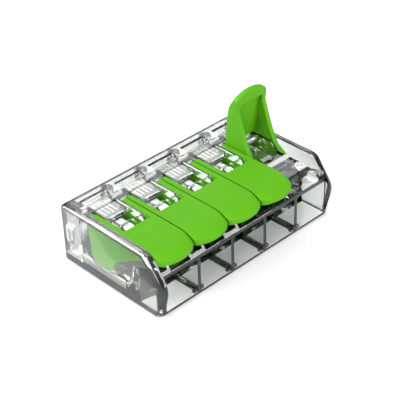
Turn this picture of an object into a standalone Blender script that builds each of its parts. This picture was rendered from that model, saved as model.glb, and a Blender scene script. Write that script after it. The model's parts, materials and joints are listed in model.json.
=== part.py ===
"""Five-way lever wire connector: clear housing, levers, clamp springs and a common current bar.

Row frame: +Z up, +X along the row of poles, -Y towards the side where the wires go in.
The origin is the middle of the underside. Lengths below are in millimetres; the mesh helpers
turn them into metres.
"""
import math

import bmesh
import bpy
from mathutils import Matrix

MM = 0.001

# Overall size
WIDTH = 29.9
DEPTH = 18.4
HEIGHT = 8.3
POLE_PITCH = 5.6
POLES = 5
BACK = DEPTH / 2
END = WIDTH / 2
FAR = 20.0                      # any distance well outside the part, for cutters

# Clearances
FIT = 0.2                       # between parts that sit against each other
RUN = 0.15                      # between a lever and the housing

# Housing shell
FLOOR = 0.9
ENTRY_FLOOR = 0.55
END_WALL = 0.9
NOSE_TOP_Y = -6.5               # where the top would meet the face that falls towards the wire entries
NOSE_FRONT = (-9.4, 4.37)       # where that face would meet the front face, before rounding
FOOT_Y = -8.3                   # the front face leans in to this line at the underside
MOUTH_Y = -8.35                 # the wire entries open here, a little behind the end walls' front edges
ENTRY_WIDTH = 5.1
ENTRY_TOP = 5.3
ENTRY_END_Y = -4.7
FUNNEL_END_Y = -2.9
FOOT_HALF = 0.5                 # a bar along the foot of each wall between two wire entries
FOOT_HIGH = 0.4
TOE_HALF = 0.8                  # the short crosspiece at its front end
TOE = (-8.25, -7.85)            # front and back
THROAT_HALF = 1.45              # half width of the space between a pole's two partition walls
PARTITION = 0.45
WIRE_LOW = 2.05
WIRE_HIGH = 4.7
ROOF_LOW = 6.4
ROOF_HIGH = 7.0
ROOF_BACK_Y = -1.6
FUNNEL_SLOPE = (0.5, 0.6)       # the slope between a funnel's end and the roof, in y and z
SILL_HIGH = 6.55                # ledge in front of the roof, just under the lever's tip
SILL_BACK_Y = -6.2
SILL_SLOPE = 0.4
BRIDGE_FRONT_Y = 2.3
BRIDGE_LOW = 7.45
BRIDGE_HIGH = 8.15
TEST_SLOT = (3.1, 5.85, -6.4)   # width, lower edge and back of the notch in the ledge
RAIL = (0.22, 8.05, 0.15, 4.6)  # radius, height, front and back of a round rail beside each lever's right arm
RAIL_FROM_POLE = 1.68

# Rear cover
SEAM_Y = 5.5
COVER_HALF = 14.1
COVER_WALL = 0.8
POCKET = (3.9, 5.95, 7.25, 0.45)    # width, front edge, back edge and depth of a top recess
COVER_RIB = 0.8
COVER_POST = (0.7, 7.5)             # radius and y of a round post at each boundary between poles
COVER_INNER_EDGE = 0.5              # slope inside the cover's rear top edge
COVER_END = 1.0                     # thickness of its end walls
LATCH = (7.0, 7.9, 3.2, 5.0, 0.25)  # front, back, low, high, stand-out

# Current bar
BAR = (-1.9, 6.3, 1.1, 1.75)        # front, back, underside, top
BAR_HALF = 13.4
RIDGE_Y = 3.1
RIDGE = 0.2
RIDGE_FOOT = 0.4                # half width at its foot and at its crest
RIDGE_CREST = 0.15
BAR_EDGE = 0.25

# Levers
PIVOT_Y = 1.6
PIVOT_Z = 5.6
DISC = 3.6
DISC_ARC = (-52, -110)
SWEEP = 3.95                    # radius that a lever's rear end needs to turn in
WEB_SWEEP = 3.0                 # radius that stays clear of the web as it swings over
ARM_UNDERSIDE = [(-0.5, 3.9), (-2.4, 5.05), (-4.6, 6.1), (-6.0, 6.7)]
SLOT_UNDERSIDE = [(-3.9, 5.25), (-6.45, 6.2)]
LEVER_HALF = 2.7
ARM = 0.65
LEVER_TOP = 8.15
LEVER_BACK_Y = 4.2
HEEL = 0.5
WINDOW_FRONT_Y = -1.1
WEB_LOW = 7.25
POCKET_END = (-6.3, -6.9)       # the slope at the front of the space under the web, top and bottom
TIP_LOW = 6.7
TIP_Y = -8.6
TIP_LIP = 0.15
TIP_BROW = 0.25                 # rounding between the top and the tip's front face
CROWN = 9.0                     # radius of the top's slight fall towards the tip
CROWN_Y = -5.0                  # where that fall starts
TIP_SAGITTA = 0.85              # how far the middle of the tip stands in front of its corners
TIP_CORNER = 0.35
TIP_START_Y = -6.0              # from here forward the outline follows the tip's curve more and more
TRUNNION = 0.9
TRUNNION_REACH = 0.55
OPEN_ANGLE = 84.0
OPEN_POLE = 4                   # the last pole stands open

# Clamp springs and their frames
STRIP = 0.3
SPRING_HALF = 0.85
SPRING_TOP = 6.6
BEND_Y = -0.4
BEND = 0.9
SPRING_BACK_Y = 5.4
TIP_CLOSED = (3.15, 2.25)
TIP_OPEN = (3.9, 4.55)
FRAME_HALF = 1.28
SHEET = 0.3
FRAME_FRONT_Y = 3.0
FRAME_FOOT_Y = 4.3
FRAME_BACK_Y = 6.2
FRAME_TOP = 7.25
FRAME_CORNER = 0.25
FRAME_HEAD = 1.3                # height of the side webs' head, and depth of the slope's end below it
FRAME_NECK = 2.1

POLE_CENTRES = [(index - (POLES - 1) / 2) * POLE_PITCH for index in range(POLES)]
BOUNDARIES = [POLE_CENTRES[index] + POLE_PITCH / 2 for index in range(POLES - 1)]


# ---- scene, materials and small helpers -------------------------------------------------------

def clear_scene():
    for thing in list(bpy.data.objects):
        bpy.data.objects.remove(thing)


def new_collection(name):
    collection = bpy.data.collections.new(name)
    bpy.context.scene.collection.children.link(collection)
    return collection


def material(name, color, roughness, metallic=0.0, transmission=0.0):
    made = bpy.data.materials.new(name)
    made.use_nodes = True
    made.diffuse_color = (*color, 1.0)
    shader = made.node_tree.nodes["Principled BSDF"]
    shader.inputs["Base Color"].default_value = (*color, 1.0)
    shader.inputs["Roughness"].default_value = roughness
    shader.inputs["Metallic"].default_value = metallic
    shader.inputs["Transmission Weight"].default_value = transmission
    return made


def arc(centre, radius, start, end, steps):
    """Points on a circle in an outline's plane, from one angle to another in degrees."""
    points = []
    for step in range(steps + 1):
        angle = math.radians(start + (end - start) * step / steps)
        points.append((centre[0] + radius * math.cos(angle), centre[1] + radius * math.sin(angle)))
    return points


def rounded(corners, steps=3):
    """An outline whose corners (a, b, radius) are replaced by arcs of that radius."""
    points = []
    for index, (a, b, radius) in enumerate(corners):
        if radius == 0:
            points.append((a, b))
            continue
        before = corners[index - 1]
        after = corners[(index + 1) % len(corners)]
        to_before = math.atan2(before[1] - b, before[0] - a)
        to_after = math.atan2(after[1] - b, after[0] - a)
        opening = (to_after - to_before + math.pi) % (2 * math.pi) - math.pi
        reach = radius / abs(math.tan(opening / 2))
        middle = to_before + opening / 2
        away = radius / abs(math.sin(opening / 2))
        centre = (a + away * math.cos(middle), b + away * math.sin(middle))
        first = (a + reach * math.cos(to_before), b + reach * math.sin(to_before))
        start = math.atan2(first[1] - centre[1], first[0] - centre[0])
        turn = -math.copysign(math.pi - abs(opening), opening)
        for step in range(steps + 1):
            angle = start + turn * step / steps
            points.append((centre[0] + radius * math.cos(angle), centre[1] + radius * math.sin(angle)))
    return points


def add_object(name, mesh, collection, finish=None):
    made = bpy.data.objects.new(name, mesh)
    collection.objects.link(made)
    if finish:
        mesh.materials.append(finish)
    else:
        made.hide_render = True
        made.display_type = "WIRE"
    return made


def boxes(name, corners, collection, finish=None):
    """One object of separate boxes, each given as its (low corner, high corner)."""
    form = bmesh.new()
    for low, high in corners:
        size = [(high[axis] - low[axis]) * MM for axis in range(3)]
        middle = [(high[axis] + low[axis]) / 2 * MM for axis in range(3)]
        place = Matrix.Translation(middle) @ Matrix.Diagonal((*size, 1.0))
        bmesh.ops.create_cube(form, size=1.0, matrix=place)
    mesh = bpy.data.meshes.new(name)
    form.to_mesh(mesh)
    form.free()
    return add_object(name, mesh, collection, finish)


def flat_mesh(outline, thickness):
    """The solid of a flat outline, swept evenly to both sides of its plane."""
    curve = bpy.data.curves.new("outline", "CURVE")
    curve.dimensions = "2D"
    curve.fill_mode = "BOTH"
    curve.extrude = thickness / 2 * MM
    spline = curve.splines.new("POLY")
    spline.points.add(len(outline) - 1)
    for point, (a, b) in zip(spline.points, outline):
        point.co = (a * MM, b * MM, 0.0, 1.0)
    spline.use_cyclic_u = True
    guide = bpy.data.objects.new("outline", curve)
    bpy.context.scene.collection.objects.link(guide)
    bpy.context.view_layer.update()
    mesh = bpy.data.meshes.new_from_object(guide.evaluated_get(bpy.context.evaluated_depsgraph_get()))
    bpy.data.objects.remove(guide)
    bpy.data.curves.remove(curve)
    return mesh


SIDE = Matrix(((0, 0, 1, 0), (1, 0, 0, 0), (0, 1, 0, 0), (0, 0, 0, 1)))     # an outline's (a, b) is (y, z)


def prisms(name, outline, spans, collection, finish=None):
    """One object of separate prisms of the same side view, one for each (low, high) span in x."""
    form = bmesh.new()
    for low, high in spans:
        mesh = flat_mesh(outline, high - low)
        mesh.transform(SIDE @ Matrix.Translation((0, 0, (low + high) / 2 * MM)))
        form.from_mesh(mesh)
        bpy.data.meshes.remove(mesh)
    bmesh.ops.remove_doubles(form, verts=form.verts, dist=0.001 * MM)
    bmesh.ops.recalc_face_normals(form, faces=form.faces)
    mesh = bpy.data.meshes.new(name)
    form.to_mesh(mesh)
    form.free()
    return add_object(name, mesh, collection, finish)


ALONG_X = Matrix.Rotation(math.radians(90), 4, "Y")
ALONG_Y = Matrix.Rotation(math.radians(90), 4, "X")
ALONG_Z = Matrix.Identity(4)


def cylinders(name, radius, places, length, collection, turn=ALONG_X, segments=20):
    """One object of equal cylinders, one about each of the given middle points."""
    form = bmesh.new()
    for place in places:
        matrix = Matrix.Translation([value * MM for value in place]) @ turn
        bmesh.ops.create_cone(form, cap_ends=True, segments=segments, radius1=radius * MM,
                              radius2=radius * MM, depth=length * MM, matrix=matrix)
    mesh = bpy.data.meshes.new(name)
    form.to_mesh(mesh)
    form.free()
    return add_object(name, mesh, collection)


def combine(target, other, operation):
    step = target.modifiers.new(other.name, "BOOLEAN")
    step.operation = operation
    step.solver = "EXACT"
    step.object = other


def smooth(thing):
    thing.data.shade_smooth()
    thing.data.set_sharp_from_angle(angle=math.radians(35))


def around(centre, half):
    return (centre - half, centre + half)


# ---- housing and rear cover -------------------------------------------------------------------

def outer_body(name, collection, finish=None):
    """The whole outside shape: the end profile swept along the row, with every edge rounded."""
    corners = [(BACK, 0.0, 0.3), (BACK, HEIGHT, 1.3), (NOSE_TOP_Y, HEIGHT, 1.1), (*NOSE_FRONT, 1.2),
               (FOOT_Y, 0.0, 0.3)]
    end_edges = [1.0, 0.65, 0.9, 1.2, 0.4]          # edge from each corner to the next
    outline = [(y, z) for y, z, _ in corners]
    body = prisms(name, outline, [(-END, END)], collection, finish)
    widest = max(end_edges + [radius for _, _, radius in corners])
    form = bmesh.new()
    form.from_mesh(body.data)
    planar = [face for face in form.faces if len(face.verts) == 3]
    bmesh.ops.dissolve_faces(form, faces=[face for face in planar if face.calc_center_median().x > 0])
    planar = [face for face in form.faces if len(face.verts) == 3]
    bmesh.ops.dissolve_faces(form, faces=planar)
    weight = form.edges.layers.float.new("bevel_weight_edge")
    for edge in form.edges:
        ends = [nearest_corner(vertex, outline) for vertex in edge.verts]
        if ends[0] == ends[1]:
            edge[weight] = corners[ends[0]][2] / widest
        else:
            first = max(ends) if abs(ends[0] - ends[1]) > 1 else min(ends)
            edge[weight] = end_edges[first] / widest
    form.to_mesh(body.data)
    form.free()
    bevel = body.modifiers.new("rounded edges", "BEVEL")
    bevel.limit_method = "WEIGHT"
    bevel.width = widest * MM
    bevel.segments = 4
    bevel.use_clamp_overlap = False
    return body


def nearest_corner(vertex, outline):
    distances = [math.hypot(vertex.co.y / MM - y, vertex.co.z / MM - z) for y, z in outline]
    return distances.index(min(distances))


def tapered_funnels(name, collection):
    """Each wire entry narrows from its square mouth to the throat between the partition walls."""
    form = bmesh.new()
    mouth = (ENTRY_WIDTH / 2, ENTRY_FLOOR, ENTRY_TOP, ENTRY_END_Y - 0.01)
    throat = (THROAT_HALF, WIRE_LOW, WIRE_HIGH, FUNNEL_END_Y + 0.01)
    for centre in POLE_CENTRES:
        cube = bmesh.ops.create_cube(form, size=1.0)
        for vertex in cube["verts"]:
            half, low, high, y = mouth if vertex.co.y < 0 else throat
            side = half if vertex.co.x > 0 else -half
            level = high if vertex.co.z > 0 else low
            vertex.co = ((centre + side) * MM, y * MM, level * MM)
    mesh = bpy.data.meshes.new(name)
    form.to_mesh(mesh)
    form.free()
    return add_object(name, mesh, collection)


def arm_slot_outline():
    """Room for two neighbouring arms, through the full turn of their levers."""
    rear = arc((PIVOT_Y, PIVOT_Z), SWEEP, 46, -150, 16)
    return rear + SLOT_UNDERSIDE + [(-FAR, SLOT_UNDERSIDE[-1][1]), (-FAR, FAR), (rear[0][0], FAR)]


def throat_outline():
    """The space between a pole's partition walls, for the spring, its frame and the wire's end."""
    slope_y, slope_z = FUNNEL_SLOPE
    return [(FUNNEL_END_Y, WIRE_LOW), (BAR[0] - FIT, FLOOR), (FAR, FLOOR), (FAR, BRIDGE_LOW),
            (BRIDGE_FRONT_Y, BRIDGE_LOW), (BRIDGE_FRONT_Y, FAR), (ROOF_BACK_Y, FAR),
            (ROOF_BACK_Y, ROOF_LOW), (FUNNEL_END_Y + slope_y, ROOF_LOW - slope_z), (FUNNEL_END_Y, WIRE_HIGH)]


def lever_bed_outline():
    """Everything above the roof under the levers' tongues and above the bridge behind them."""
    rear_y = PIVOT_Y + math.sqrt(SWEEP ** 2 - (HEIGHT - PIVOT_Z) ** 2)
    low = math.degrees(math.asin((ROOF_HIGH - PIVOT_Z) / WEB_SWEEP))
    high = math.degrees(math.asin((BRIDGE_HIGH - PIVOT_Z) / WEB_SWEEP))
    shoulder = arc((PIVOT_Y, PIVOT_Z), WEB_SWEEP, 180 - low, 180 - high, 3)
    return [(-FAR, SILL_HIGH), (SILL_BACK_Y - SILL_SLOPE, SILL_HIGH), (SILL_BACK_Y, ROOF_HIGH)] + shoulder + [
        (rear_y, BRIDGE_HIGH), (rear_y, FAR), (-FAR, FAR)]


def make_housing(part, cutters, clear_plastic):
    housing = outer_body("housing", part, clear_plastic)
    inner_end = END - END_WALL
    entry_half = ENTRY_WIDTH / 2
    slot_width, slot_low, slot_back = TEST_SLOT
    entries = [((x - entry_half, -FAR, ENTRY_FLOOR), (x + entry_half, ENTRY_END_Y, ENTRY_TOP))
               for x in POLE_CENTRES]
    test_slots = [((x - slot_width / 2, -FAR, slot_low), (x + slot_width / 2, slot_back, SILL_HIGH + 1))
                  for x in POLE_CENTRES]
    partition_outer = THROAT_HALF + PARTITION
    arm_slots = [around(x, POLE_PITCH / 2 - partition_outer) for x in BOUNDARIES]
    outermost = POLE_CENTRES[-1] + partition_outer
    arm_slots += [(-inner_end, -outermost), (outermost, inner_end)]
    rear_opening = [((-COVER_HALF, SEAM_Y, FLOOR), (COVER_HALF, FAR, FAR))]
    bar_way = [((-BAR_HALF - FIT, BAR[0] - FIT, FLOOR), (BAR_HALF + FIT, FAR, WIRE_LOW))]
    front, back, low, high, reach = LATCH
    latch_pockets = [((side * COVER_HALF - reach - FIT, front - FIT, low - FIT),
                      (side * COVER_HALF + reach + FIT, back + FIT, high + FIT)) for side in (-1, 1)]
    throats = [around(x, THROAT_HALF) for x in POLE_CENTRES]
    cuts = [
        boxes("mouth_cutter", [((-inner_end, -FAR, -FAR), (inner_end, MOUTH_Y, FAR))], cutters),
        boxes("entry_cutter", entries, cutters),
        tapered_funnels("funnel_cutter", cutters),
        boxes("test_slot_cutter", test_slots, cutters),
        prisms("throat_cutter", throat_outline(), throats, cutters),
        prisms("arm_slot_cutter", arm_slot_outline(), arm_slots, cutters),
        prisms("lever_bed_cutter", lever_bed_outline(), [(-inner_end, inner_end)], cutters),
        boxes("bar_cutter", bar_way, cutters),
        boxes("rear_cutter", rear_opening, cutters),
        boxes("latch_cutter", latch_pockets, cutters),
        cylinders("trunnion_cutter", TRUNNION + RUN, [(0, PIVOT_Y, PIVOT_Z)], 2 * outermost + FIT, cutters),
    ]
    for cutter in cuts:
        combine(housing, cutter, "DIFFERENCE")
    sunk = ENTRY_FLOOR / 2
    foot_top = ENTRY_FLOOR + FOOT_HIGH
    feet = [((x - FOOT_HALF, TOE[0], sunk), (x + FOOT_HALF, ENTRY_END_Y, foot_top)) for x in BOUNDARIES]
    toes = [((x - TOE_HALF, TOE[0], sunk), (x + TOE_HALF, TOE[1], foot_top)) for x in BOUNDARIES]
    combine(housing, boxes("divider_feet", feet, cutters), "UNION")
    combine(housing, boxes("divider_toes", toes, cutters), "UNION")
    radius, high, front, back = RAIL
    rails = [(x + RAIL_FROM_POLE, (front + back) / 2, high) for x in POLE_CENTRES]
    combine(housing, cylinders("rails", radius, rails, back - front, cutters, ALONG_Y, 10), "UNION")
    smooth(housing)


def make_rear_cover(part, cutters, clear_plastic):
    cover = outer_body("rear_cover", part, clear_plastic)
    half = COVER_HALF - RUN
    keep = boxes("cover_keep", [((-half, SEAM_Y + FIT, FLOOR + FIT), (half, FAR, FAR))], cutters)
    wall_y = BACK - COVER_WALL
    ceiling = HEIGHT - COVER_WALL
    inside = [(SEAM_Y - 1, FLOOR - 1), (wall_y, FLOOR - 1), (wall_y, ceiling - COVER_INNER_EDGE),
              (wall_y - COVER_INNER_EDGE, ceiling), (SEAM_Y - 1, ceiling)]
    hollow = prisms("cover_hollow_cutter", inside, [(-FAR, FAR)], cutters)
    width, front, back, depth = POCKET
    pockets = [((x - width / 2, front, HEIGHT - depth), (x + width / 2, back, FAR)) for x in POLE_CENTRES]
    combine(cover, keep, "INTERSECT")
    combine(cover, hollow, "DIFFERENCE")
    combine(cover, boxes("pocket_cutter", pockets, cutters), "DIFFERENCE")
    low = FLOOR + 2 * FIT
    into_wall = COVER_WALL / 2
    rear = BACK - into_wall
    top = HEIGHT - into_wall
    ribs = [((x - COVER_RIB / 2, FRAME_BACK_Y + 3 * FIT, low), (x + COVER_RIB / 2, rear, top))
            for x in BOUNDARIES]
    combine(cover, boxes("cover_ribs", ribs, cutters), "UNION")
    radius, post_y = COVER_POST
    posts = [(x, post_y, (low + top) / 2) for x in BOUNDARIES]
    combine(cover, cylinders("cover_posts", radius, posts, top - low, cutters, ALONG_Z, 16), "UNION")
    latch_front, latch_back, latch_low, latch_high, reach = LATCH
    walls = []
    latches = []
    for side in (-1, 1):
        wall = sorted((side * (half - COVER_END), side * half))
        latch = sorted((side * (half - COVER_END), side * (half + reach)))
        walls.append(((wall[0], BAR[1] + FIT, low), (wall[1], rear, top)))
        latches.append(((latch[0], latch_front, latch_low), (latch[1], latch_back, latch_high)))
    combine(cover, boxes("cover_ends", walls, cutters), "UNION")
    combine(cover, boxes("cover_latches", latches, cutters), "UNION")
    smooth(cover)


# ---- metal parts ------------------------------------------------------------------------------

def make_current_bar(part, tinned_copper):
    front, back, low, high = BAR
    crest = high + RIDGE
    ridge = [(RIDGE_Y + RIDGE_FOOT, high), (RIDGE_Y + RIDGE_CREST, crest),
             (RIDGE_Y - RIDGE_CREST, crest), (RIDGE_Y - RIDGE_FOOT, high)]
    rim = [(front + BAR_EDGE, high), (front, high - BAR_EDGE)]
    outline = [(front, low), (back, low), (back, high)] + ridge + rim
    prisms("current_bar", outline, [(-BAR_HALF, BAR_HALF)], part, tinned_copper)


def strip_outline(path):
    """The edge view of a strip of even thickness along a path of points."""
    left = []
    right = []
    for index, (a, b) in enumerate(path):
        before = path[max(index - 1, 0)]
        after = path[min(index + 1, len(path) - 1)]
        length = math.hypot(after[0] - before[0], after[1] - before[1])
        across = (-(after[1] - before[1]) / length * STRIP / 2, (after[0] - before[0]) / length * STRIP / 2)
        left.append((a + across[0], b + across[1]))
        right.append((a - across[0], b - across[1]))
    return left + right[::-1]


def spring_path(tip):
    """Holding leg along the top, bend at the front, and clamping leg back to its tip."""
    centre = (BEND_Y, SPRING_TOP - BEND)
    slope = math.degrees(math.atan2(tip[1] - centre[1] + BEND, tip[0] - centre[0]))
    bend = arc(centre, BEND, 90, 270 + slope, 8)
    return [(SPRING_BACK_Y, SPRING_TOP)] + bend + [tip]


def make_clamp_spring(index, part, spring_steel):
    tip = TIP_OPEN if index == OPEN_POLE else TIP_CLOSED
    span = around(POLE_CENTRES[index], SPRING_HALF)
    spring = prisms(f"clamp_spring_{index + 1}", strip_outline(spring_path(tip)), [span], part, spring_steel)
    smooth(spring)


def make_spring_frame(index, part, cutters, steel):
    """A bent sheet part: two side webs on the bar, a back web, and a crossbar over the spring."""
    foot = BAR[3] + RUN
    corners = [(FRAME_FOOT_Y, foot), (FRAME_BACK_Y, foot), (FRAME_BACK_Y, FRAME_TOP),
               (FRAME_FRONT_Y, FRAME_TOP), (FRAME_FRONT_Y, FRAME_TOP - FRAME_HEAD),
               (FRAME_FOOT_Y, FRAME_TOP - FRAME_NECK)]
    outline = rounded([(y, z, FRAME_CORNER) for y, z in corners], steps=2)
    outer_span = around(POLE_CENTRES[index], FRAME_HALF)
    frame = prisms(f"spring_frame_{index + 1}", outline, [outer_span], part, steel)
    inside = [(FRAME_FRONT_Y - 1, foot - 1), (FRAME_BACK_Y - SHEET, foot - 1),
              (FRAME_BACK_Y - SHEET, FRAME_TOP - SHEET), (FRAME_FRONT_Y - 1, FRAME_TOP - SHEET)]
    span = around(POLE_CENTRES[index], FRAME_HALF - SHEET)
    hollow = prisms(f"frame_cutter_{index + 1}", inside, [span], cutters)
    combine(frame, hollow, "DIFFERENCE")


# ---- levers -----------------------------------------------------------------------------------

def lever_outline():
    """Side view of a closed lever: end disc, arms' underside, tip, crowned top and heel."""
    disc = arc((PIVOT_Y, PIVOT_Z), DISC, *DISC_ARC, 7)
    lip = arc((TIP_Y + TIP_LIP, TIP_LOW + TIP_LIP), TIP_LIP, 270, 180, 2)
    lean = math.asin((CROWN_Y - TIP_Y - TIP_BROW) / (CROWN - TIP_BROW))
    turn = 90 + math.degrees(lean)
    brow_middle = (TIP_Y + TIP_BROW, LEVER_TOP - CROWN + (CROWN - TIP_BROW) * math.cos(lean))
    brow = arc(brow_middle, TIP_BROW, 180, turn, 3)
    crown = arc((CROWN_Y, LEVER_TOP - CROWN), CROWN, turn, 90, 5)
    heel = arc((LEVER_BACK_Y - HEEL, LEVER_TOP - HEEL), HEEL, 90, 0, 3)
    return disc + ARM_UNDERSIDE + lip + brow + crown[1:] + heel


def tip_setback(x):
    """How far the tip's edge lies behind its foremost point, at a distance x from the lever's middle."""
    radius = (LEVER_HALF ** 2 + TIP_SAGITTA ** 2) / (2 * TIP_SAGITTA)
    into_corner = max(abs(x) - (LEVER_HALF - TIP_CORNER), 0)
    rounding = TIP_CORNER - math.sqrt(max(TIP_CORNER ** 2 - into_corner ** 2, 0))
    return radius - math.sqrt(radius ** 2 - x ** 2) + rounding


def lever_stations():
    """Distances from the lever's middle, closer together round the tip's corners."""
    straight = LEVER_HALF - TIP_CORNER
    half = [straight * step / 5 for step in range(5)]
    half += [straight + TIP_CORNER * math.sin(math.radians(angle)) for angle in (0, 25, 50, 70, 90)]
    return [-x for x in half[:0:-1]] + half


def lever_body(name, centre, collection, finish):
    """The side view lofted across the lever, with its front end following the tip's curve."""
    form = bmesh.new()
    rings = []
    for x in lever_stations():
        ring = []
        for y, z in lever_outline():
            share = max((TIP_START_Y - y) / (TIP_START_Y - TIP_Y), 0)
            ring.append(form.verts.new(((centre + x) * MM, (y + share * tip_setback(x)) * MM, z * MM)))
        rings.append(ring)
    for ring, following in zip(rings, rings[1:]):
        for index in range(len(ring)):
            form.faces.new((ring[index - 1], ring[index], following[index], following[index - 1]))
    form.faces.new(rings[0])
    form.faces.new(rings[-1])
    bmesh.ops.recalc_face_normals(form, faces=form.faces)
    bmesh.ops.dissolve_limit(form, angle_limit=math.radians(0.5), verts=form.verts, edges=form.edges)
    mesh = bpy.data.meshes.new(name)
    form.to_mesh(mesh)
    form.free()
    return add_object(name, mesh, collection, finish)


def make_lever(index, part, cutters, green_plastic):
    """Modelled closed at its pole, then turned about its pivot, where its origin stays."""
    number = index + 1
    centre = POLE_CENTRES[index]
    lever = lever_body(f"lever_{number}", centre, part, green_plastic)
    inside_half = LEVER_HALF - ARM
    slope_top, slope_end = POCKET_END
    below = 2 * slope_end - slope_top
    inside = [(FAR, 0), (FAR, FAR), (WINDOW_FRONT_Y, FAR), (WINDOW_FRONT_Y, WEB_LOW), (slope_top, WEB_LOW),
              (below, 2 * TIP_LOW - WEB_LOW), (below, 0)]
    hollow = prisms(f"lever_hollow_{number}", inside, [around(centre, inside_half)], cutters)
    stub = TRUNNION_REACH + FIT
    middle = inside_half - TRUNNION_REACH + stub / 2
    stubs = [(centre + side * middle, PIVOT_Y, PIVOT_Z) for side in (-1, 1)]
    trunnions = cylinders(f"lever_trunnions_{number}", TRUNNION, stubs, stub, cutters)
    combine(lever, hollow, "DIFFERENCE")
    combine(lever, trunnions, "UNION")
    pivot = bpy.data.objects.new(f"pivot_{number}", None)
    part.objects.link(pivot)
    pivot.location = (0, PIVOT_Y * MM, PIVOT_Z * MM)
    for thing in (lever, hollow, trunnions):
        thing.data.transform(Matrix.Translation((0, -PIVOT_Y * MM, -PIVOT_Z * MM)))
        thing.parent = pivot
    if index == OPEN_POLE:
        pivot.rotation_euler.x = math.radians(-OPEN_ANGLE)
    smooth(lever)


def main():
    clear_scene()
    part = new_collection("lever_wire_connector")
    cutters = new_collection("cutters")
    clear_plastic = material("clear polycarbonate", (0.9, 0.92, 0.93), 0.05, transmission=0.9)
    green_plastic = material("green polyamide", (0.14, 0.53, 0.03), 0.35)
    tinned_copper = material("tinned copper", (0.72, 0.71, 0.68), 0.3, metallic=1.0)
    spring_steel = material("spring steel", (0.66, 0.67, 0.68), 0.25, metallic=1.0)
    make_housing(part, cutters, clear_plastic)
    make_rear_cover(part, cutters, clear_plastic)
    make_current_bar(part, tinned_copper)
    for index in range(POLES):
        make_clamp_spring(index, part, spring_steel)
        make_spring_frame(index, part, cutters, spring_steel)
        make_lever(index, part, cutters, green_plastic)


main()
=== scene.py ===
"""Looks for the lever wire connector: clear shell, levers, metals, camera and light."""
import json
import math

import bmesh
import bpy
from mathutils import Matrix, Vector


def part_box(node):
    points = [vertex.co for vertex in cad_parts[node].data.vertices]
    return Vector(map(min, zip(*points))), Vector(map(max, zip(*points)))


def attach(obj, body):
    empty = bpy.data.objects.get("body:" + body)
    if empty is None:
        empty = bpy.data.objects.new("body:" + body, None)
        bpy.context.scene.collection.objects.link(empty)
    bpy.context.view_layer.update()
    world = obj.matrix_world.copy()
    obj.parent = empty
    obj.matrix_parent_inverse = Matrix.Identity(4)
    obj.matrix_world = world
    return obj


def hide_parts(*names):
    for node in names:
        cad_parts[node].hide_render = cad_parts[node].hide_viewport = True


MM = 0.001
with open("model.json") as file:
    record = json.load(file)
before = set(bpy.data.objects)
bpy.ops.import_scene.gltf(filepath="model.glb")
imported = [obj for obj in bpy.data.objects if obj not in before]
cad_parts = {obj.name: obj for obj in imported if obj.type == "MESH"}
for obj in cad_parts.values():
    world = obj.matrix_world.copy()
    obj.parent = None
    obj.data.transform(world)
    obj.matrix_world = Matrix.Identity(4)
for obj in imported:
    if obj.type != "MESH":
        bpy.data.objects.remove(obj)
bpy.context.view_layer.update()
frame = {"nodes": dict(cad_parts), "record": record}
nodes = frame["nodes"]

# Camera, in the row frame, with lengths in millimetres
AZIMUTH = -43.44
ELEVATION = 34.46
ROLL = -1.89
DISTANCE = 154.46
TARGET = (1.41, 1.48, 4.0)
LENS = 110.65

# Small moulded details, in millimetres
POLES = range(1, 6)
RIBS = (-0.85, -0.3, 0.3, 0.85)      # across a spring frame, from its middle
RIB_HALF, RIB_HIGH = 0.14, 0.1
RIB_MARGIN = 0.3                     # from a rib's end to the frame's
ROOF_HIGH = 7.0
RIDGE_LONG = 3.6
RIDGE_Y = -2.7
RIDGE_HALF, RIDGE_HIGH = 0.45, 0.19
RING = (1.15, -5.4)                  # from the pole's middle, and in y
RING_LIFT = 0.01
RING_SECTION = [(0.45, 0.0), (0.6, 0.0), (0.58, 0.13), (0.47, 0.13)]    # out and up
RING_STEPS = 28
DOT_RADIUS, DOT_HIGH, DOT_STEPS = 0.16, 0.13, 12

# Faces of the clear shell that get painted shade or are dulled, in millimetres
FOOT_HALF = 0.85                     # to each side of the line between two poles
FOOT_BACK = -4.6
FOOT_LOW, FOOT_HIGH = 0.5, 1.0
MOUTH_BACK = -8.2
LOWER_EDGE_HIGH = 0.45
ENTRY_BACK = -1.5
ENTRY_FLOOR_LOW, ENTRY_FLOOR_HIGH = 0.5, 0.6

SHARP = 24      # degrees between two faces, above which their shared edge is a real edge
FLAT = 0.4      # degrees between two faces, below which they are one face
SAME_PLACE = 0.000001
PLASTIC_IOR = 1.57


# ---- materials --------------------------------------------------------------------------------

def new_material(name):
    made = bpy.data.materials.new(name)
    made.use_nodes = True
    return made, made.node_tree, made.node_tree.nodes["Principled BSDF"]


def add(tree, kind, **values):
    node = tree.nodes.new(kind)
    for name, value in values.items():
        setattr(node, name, value)
    return node


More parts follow.
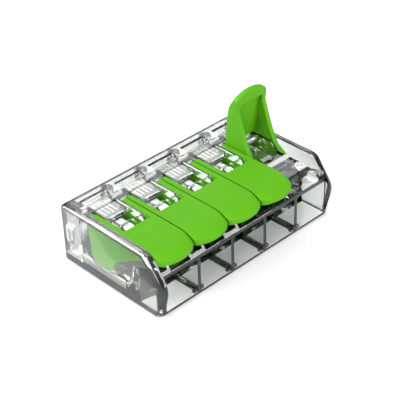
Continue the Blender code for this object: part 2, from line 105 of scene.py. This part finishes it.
def clear_plastic(name, face_on):
    """Clear plastic: grey through its thickness, with painted shade: its colour darkens where it is seen
    at a shallow angle.
    """
    made, tree, shader = new_material(name)
    tint = (0.96, 0.965, 0.96, 1)
    # Painted shade: the colour turns grey where the surface is seen at a shallow angle, giving dark edges.
    layer = add(tree, "ShaderNodeLayerWeight")
    edge = add(tree, "ShaderNodeValToRGB")
    edge.color_ramp.elements[0].position = 0.46
    edge.color_ramp.elements[0].color = face_on
    edge.color_ramp.elements[1].position = 0.85
    edge.color_ramp.elements[1].color = (0.4, 0.4, 0.4, 1)
    tree.links.new(layer.outputs["Facing"], edge.inputs[0])
    tree.links.new(edge.outputs[0], shader.inputs["Base Color"])
    shader.inputs["Roughness"].default_value = 0.02
    shader.inputs["IOR"].default_value = PLASTIC_IOR
    shader.inputs["Transmission Weight"].default_value = 1.0
    path = add(tree, "ShaderNodeLightPath")
    see = add(tree, "ShaderNodeBsdfTransparent")
    see.inputs["Color"].default_value = tint
    mix = add(tree, "ShaderNodeMixShader")
    tree.links.new(path.outputs["Is Shadow Ray"], mix.inputs["Fac"])
    tree.links.new(shader.outputs[0], mix.inputs[1])
    tree.links.new(see.outputs[0], mix.inputs[2])
    output = tree.nodes["Material Output"]
    tree.links.new(mix.outputs[0], output.inputs["Surface"])
    depth = add(tree, "ShaderNodeVolumeAbsorption")
    depth.inputs["Color"].default_value = (0.5, 0.53, 0.51, 1)
    depth.inputs["Density"].default_value = 300.0
    tree.links.new(depth.outputs[0], output.inputs["Volume"])
    return made


def milky_plastic():
    """The clear plastic where its moulded surface scatters light."""
    made, tree, shader = new_material("satin polycarbonate")
    place = add(tree, "ShaderNodeTexCoord")
    cloud = add(tree, "ShaderNodeTexNoise")
    cloud.inputs["Scale"].default_value = 2500
    rough = add(tree, "ShaderNodeMapRange")
    rough.inputs["To Min"].default_value = 0.12
    rough.inputs["To Max"].default_value = 0.24
    tree.links.new(place.outputs["Object"], cloud.inputs["Vector"])
    tree.links.new(cloud.outputs[0], rough.inputs["Value"])
    tree.links.new(rough.outputs[0], shader.inputs["Roughness"])
    shader.inputs["Base Color"].default_value = (0.85, 0.86, 0.855, 1)
    shader.inputs["Transmission Weight"].default_value = 0.6
    shader.inputs["IOR"].default_value = PLASTIC_IOR
    return made


def green_plastic():
    """Matt green plastic with a faint mottle and a fine grain."""
    made, tree, shader = new_material("green polyamide")
    place = add(tree, "ShaderNodeTexCoord")
    mottle = add(tree, "ShaderNodeTexNoise")
    mottle.inputs["Scale"].default_value = 400
    ramp = add(tree, "ShaderNodeValToRGB")
    ramp.color_ramp.elements[0].color = (0.048, 0.193, 0.0023, 1)
    ramp.color_ramp.elements[1].color = (0.054, 0.208, 0.0037, 1)
    grain = add(tree, "ShaderNodeTexNoise")
    grain.inputs["Scale"].default_value = 9000
    bump = add(tree, "ShaderNodeBump")
    bump.inputs["Strength"].default_value = 0.08
    bump.inputs["Distance"].default_value = 0.00003
    tree.links.new(place.outputs["Object"], mottle.inputs["Vector"])
    tree.links.new(place.outputs["Object"], grain.inputs["Vector"])
    tree.links.new(mottle.outputs[0], ramp.inputs[0])
    tree.links.new(ramp.outputs[0], shader.inputs["Base Color"])
    tree.links.new(grain.outputs[0], bump.inputs["Height"])
    tree.links.new(bump.outputs[0], shader.inputs["Normal"])
    shader.inputs["Roughness"].default_value = 0.5
    shader.inputs["Specular IOR Level"].default_value = 0.08
    return made


def brushed_metal(name, color, roughness, stretch):
    """Rolled strip: fine lines along one direction."""
    made, tree, shader = new_material(name)
    place = add(tree, "ShaderNodeTexCoord")
    scale = add(tree, "ShaderNodeMapping")
    scale.inputs["Scale"].default_value = stretch
    lines = add(tree, "ShaderNodeTexNoise")
    lines.inputs["Scale"].default_value = 1.0
    lines.inputs["Detail"].default_value = 4
    rough = add(tree, "ShaderNodeMapRange")
    rough.inputs["To Min"].default_value = roughness - 0.06
    rough.inputs["To Max"].default_value = roughness + 0.06
    bump = add(tree, "ShaderNodeBump")
    bump.inputs["Strength"].default_value = 0.15
    bump.inputs["Distance"].default_value = 0.00002
    tree.links.new(place.outputs["Object"], scale.inputs["Vector"])
    tree.links.new(scale.outputs[0], lines.inputs["Vector"])
    tree.links.new(lines.outputs[0], rough.inputs["Value"])
    tree.links.new(rough.outputs[0], shader.inputs["Roughness"])
    tree.links.new(lines.outputs[0], bump.inputs["Height"])
    tree.links.new(bump.outputs[0], shader.inputs["Normal"])
    shader.inputs["Base Color"].default_value = (*color, 1)
    shader.inputs["Metallic"].default_value = 1.0
    return made


# ---- finer versions of the CAD solids ---------------------------------------------------------

def fine_piece(node_name, edge, finish, segments=2):
    """The CAD solid with clean flat faces and its sharp edges rounded, on the solid's own body."""
    source = nodes[node_name]
    mesh = source.data.copy()
    form = bmesh.new()
    form.from_mesh(mesh)
    bmesh.ops.remove_doubles(form, verts=form.verts, dist=SAME_PLACE)
    bmesh.ops.dissolve_limit(form, angle_limit=math.radians(FLAT), verts=form.verts, edges=form.edges)
    form.to_mesh(mesh)
    form.free()
    if "custom_normal" in mesh.attributes:
        mesh.attributes.remove(mesh.attributes["custom_normal"])
    mesh.materials.clear()
    mesh.materials.append(finish)
    piece = bpy.data.objects.new(node_name + "_fine", mesh)
    bpy.context.scene.collection.objects.link(piece)
    mesh.shade_smooth()
    mesh.set_sharp_from_angle(angle=math.radians(SHARP))
    bevel = piece.modifiers.new("edges", "BEVEL")
    bevel.limit_method = "ANGLE"
    bevel.angle_limit = math.radians(SHARP)
    bevel.width = edge * MM
    bevel.segments = segments
    bevel.harden_normals = True
    bodies = frame["record"]["behaviour"]["bodies"]
    body = next(name for name, group in bodies.items() if node_name in group)
    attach(piece, body)
    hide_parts(node_name)
    return piece


def pole_middle(number):
    """The x of a pole's middle, in millimetres."""
    low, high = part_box(f"spring_frame_{number}")
    return (low.x + high.x) / 2 / MM


def paint_shade_and_satin(piece, painted_shade, satin):
    """Paints shade on the dividers' feet, the front faces and the bottom edges with a darker copy of the
    clear plastic, and dulls the entries' floors.
    """
    piece.data.materials.append(painted_shade)
    piece.data.materials.append(satin)
    centres = [pole_middle(number) for number in POLES]
    between = [(left + right) / 2 for left, right in zip(centres, centres[1:])]
    for polygon in piece.data.polygons:
        x, y, z = polygon.center / MM
        normal = polygon.normal
        offset = min(abs(x - boundary) for boundary in between)
        divider_foot = offset < FOOT_HALF and y < FOOT_BACK and FOOT_LOW < z < FOOT_HIGH
        mouth = y < MOUTH_BACK and normal.y < -0.9
        lower_edge = z < LOWER_EDGE_HIGH and -0.98 < normal.z < -0.05
        entry_floor = normal.z > 0.9 and y < ENTRY_BACK and ENTRY_FLOOR_LOW < z < ENTRY_FLOOR_HIGH
        # Painted shade on the dividers' feet, the front faces and the bottom edges.
        if divider_foot or mouth or lower_edge:
            polygon.material_index = 1
        elif entry_floor:
            polygon.material_index = 2


clear = clear_plastic("clear polycarbonate", (0.86, 0.87, 0.865, 1))
milky = milky_plastic()
# Painted shade: a darker copy of the clear plastic, put on chosen faces of the shell.
painted_shade_plastic = clear_plastic("polycarbonate with painted shade", (0.3, 0.31, 0.305, 1))
green = green_plastic()
copper = brushed_metal("tinned copper", (0.72, 0.71, 0.68), 0.3, (300, 9000, 9000))
dull_steel = brushed_metal("stamped steel", (0.31, 0.31, 0.305), 0.4, (9000, 300, 9000))
steel = brushed_metal("spring steel", (0.66, 0.67, 0.68), 0.24, (9000, 300, 9000))
for name in nodes:
    if name in ("housing", "rear_cover"):
        paint_shade_and_satin(fine_piece(name, 0.05, clear), painted_shade_plastic, milky)
    elif name.startswith("lever"):
        fine_piece(name, 0.12, green, 3)
    elif name == "current_bar":
        fine_piece(name, 0.08, copper)
    elif name.startswith("spring_frame"):
        fine_piece(name, 0.06, dull_steel)
    else:
        fine_piece(name, 0.05, steel)


# ---- small moulded details --------------------------------------------------------------------

def closed_piece(name, form, finish):
    """Turns a form into a smooth piece that rides on the base."""
    bmesh.ops.recalc_face_normals(form, faces=form.faces)
    mesh = bpy.data.meshes.new(name)
    form.to_mesh(mesh)
    form.free()
    mesh.materials.append(finish)
    mesh.shade_smooth()
    mesh.set_sharp_from_angle(angle=math.radians(SHARP))
    piece = bpy.data.objects.new(name, mesh)
    bpy.context.scene.collection.objects.link(piece)
    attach(piece, "base")


def sweep(form, outline, move):
    """Adds the closed solid of a flat outline, in millimetres, moved along a vector."""
    face = form.faces.new([form.verts.new(Vector(point) * MM) for point in outline])
    grown = bmesh.ops.extrude_face_region(form, geom=[face])["geom"]
    moved = [part for part in grown if isinstance(part, bmesh.types.BMVert)]
    bmesh.ops.translate(form, verts=moved, vec=Vector(move) * MM)


def half_round(middle, half_width, height, steps=10):
    """Points of a low dome's cross-section, across and up, about its middle on the surface."""
    across, up = middle
    turns = [math.pi * step / steps for step in range(steps + 1)]
    return [(across + half_width * math.cos(turn), up + height * math.sin(turn)) for turn in turns]


def frame_ribs(number):
    """Ribs pressed along the top of a spring frame."""
    low, high = (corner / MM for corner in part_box(f"spring_frame_{number}"))
    form = bmesh.new()
    for across in RIBS:
        section = half_round((pole_middle(number) + across, high.z), RIB_HALF, RIB_HIGH)
        outline = [(x, low.y + RIB_MARGIN, z) for x, z in section]
        sweep(form, outline, (0, high.y - low.y - 2 * RIB_MARGIN, 0))
    closed_piece(f"frame_ribs_{number}", form, dull_steel)


def roof_ridge(number):
    """The rounded bar along the rear edge of the roof under a tongue."""
    left = pole_middle(number) - RIDGE_LONG / 2
    form = bmesh.new()
    section = half_round((RIDGE_Y, ROOF_HIGH), RIDGE_HALF, RIDGE_HIGH)
    sweep(form, [(left, y, z) for y, z in section], (RIDGE_LONG, 0, 0))
    closed_piece(f"roof_ridge_{number}", form, milky)


def roof_ring(number):
    """The moulded ring and dot on the roof under a tongue."""
    place = Vector((pole_middle(number) + RING[0], RING[1], ROOF_HIGH + RING_LIFT))
    form = bmesh.new()
    rings = []
    for step in range(RING_STEPS):
        turn = Matrix.Rotation(2 * math.pi * step / RING_STEPS, 4, "Z")
        corners = [place + turn @ Vector((out, 0, up)) for out, up in RING_SECTION]
        rings.append([form.verts.new(corner * MM) for corner in corners])
    for index, ring in enumerate(rings):
        before = rings[index - 1]
        for side in range(len(RING_SECTION)):
            form.faces.new((before[side - 1], before[side], ring[side], ring[side - 1]))
    turns = [2 * math.pi * step / DOT_STEPS for step in range(DOT_STEPS)]
    dot = [place + DOT_RADIUS * Vector((math.cos(turn), math.sin(turn), 0)) for turn in turns]
    sweep(form, dot, (0, 0, DOT_HIGH))
    closed_piece(f"roof_ring_{number}", form, milky)


for number in POLES:
    frame_ribs(number)
    roof_ridge(number)
    roof_ring(number)


# ---- floor, light and camera ------------------------------------------------------------------

def make_floor():
    """A pale floor just under the part."""
    bpy.ops.mesh.primitive_plane_add(size=2.0, location=(0, 0, -0.00002))
    floor = bpy.context.object
    floor.name = "floor"
    made, tree, shader = new_material("floor")
    shader.inputs["Base Color"].default_value = (0.58, 0.58, 0.58, 1)
    shader.inputs["Roughness"].default_value = 0.9
    floor.data.materials.append(made)


def make_world():
    """Pale overhead, darker towards the back and right."""
    world = bpy.data.worlds.new("studio")
    bpy.context.scene.world = world
    world.use_nodes = True
    tree = world.node_tree
    background = tree.nodes["Background"]
    place = add(tree, "ShaderNodeTexCoord")
    lean = add(tree, "ShaderNodeVectorMath", operation="DOT_PRODUCT")
    lean.inputs[1].default_value = Vector((-0.6, 0.15, 0.8)).normalized()
    ramp = add(tree, "ShaderNodeValToRGB")
    ramp.color_ramp.elements[0].position = 0.0
    ramp.color_ramp.elements[0].color = (0.32, 0.32, 0.32, 1)
    ramp.color_ramp.elements[1].position = 0.9
    ramp.color_ramp.elements[1].color = (1, 1, 1, 1)
    tree.links.new(place.outputs["Generated"], lean.inputs[0])
    tree.links.new(lean.outputs["Value"], ramp.inputs[0])
    tree.links.new(ramp.outputs[0], background.inputs["Color"])
    background.inputs["Strength"].default_value = 1.0


def soft_box(name, direction, distance, size, radiance, only_gloss=False):
    """A square light facing the part. Its power follows from its size and how bright it looks.

    With only_gloss it shows in reflections and through the clear plastic, but lights no matt surface.
    """
    data = bpy.data.lights.new(name, "AREA")
    data.size = size
    data.energy = radiance * math.pi * size * size
    lamp = bpy.data.objects.new(name, data)
    bpy.context.scene.collection.objects.link(lamp)
    lamp.location = Vector(direction).normalized() * distance
    lamp.rotation_euler = (-lamp.location).to_track_quat("-Z", "Y").to_euler()
    lamp.visible_diffuse = not only_gloss


def make_camera():
    """A camera on a turned, raised and slightly rolled line of sight to TARGET."""
    azimuth, elevation, roll = (math.radians(angle) for angle in (AZIMUTH, ELEVATION, ROLL))
    level = math.cos(elevation)
    back = Vector((math.sin(azimuth) * level, -math.cos(azimuth) * level, math.sin(elevation)))
    right = Vector((math.cos(azimuth), math.sin(azimuth), 0))
    up = back.cross(right)
    rolled_right = right * math.cos(roll) + up * math.sin(roll)
    rolled_up = up * math.cos(roll) - right * math.sin(roll)
    data = bpy.data.cameras.new("camera")
    data.lens = LENS
    data.sensor_width = 36
    data.clip_start = 0.005
    camera = bpy.data.objects.new("camera", data)
    bpy.context.scene.collection.objects.link(camera)
    turn = Matrix((rolled_right, rolled_up, back)).transposed().to_4x4()
    camera.matrix_world = Matrix.Translation((Vector(TARGET) + back * DISTANCE) * MM) @ turn
    bpy.context.scene.camera = camera


make_floor()
make_world()
soft_box("overhead", (-0.2, -0.1, 1), distance=0.4, size=0.3, radiance=2.7)
soft_box("back_left", (-0.62, 0.6, 0.5), distance=0.35, size=0.18, radiance=11)
soft_box("edge_left", (-0.66, 0.6, 0.46), distance=0.36, size=0.3, radiance=11, only_gloss=True)
soft_box("back_top", (-0.1, 0.6, 0.8), distance=0.35, size=0.18, radiance=7)
soft_box("back_right", (0.57, 0.6, 0.57), distance=0.35, size=0.2, radiance=1.8)
soft_box("front_low", (0.3, -1, 0.35), distance=0.4, size=0.3, radiance=9)
soft_box("left_front", (-0.9, -0.35, 0.35), distance=0.35, size=0.2, radiance=7.5)
make_camera()
bpy.context.scene.view_settings.view_transform = "Standard"
bpy.context.scene.cycles.transparent_max_bounces = 24
bpy.context.scene.cycles.max_bounces = 20
bpy.context.scene.cycles.transmission_bounces = 20
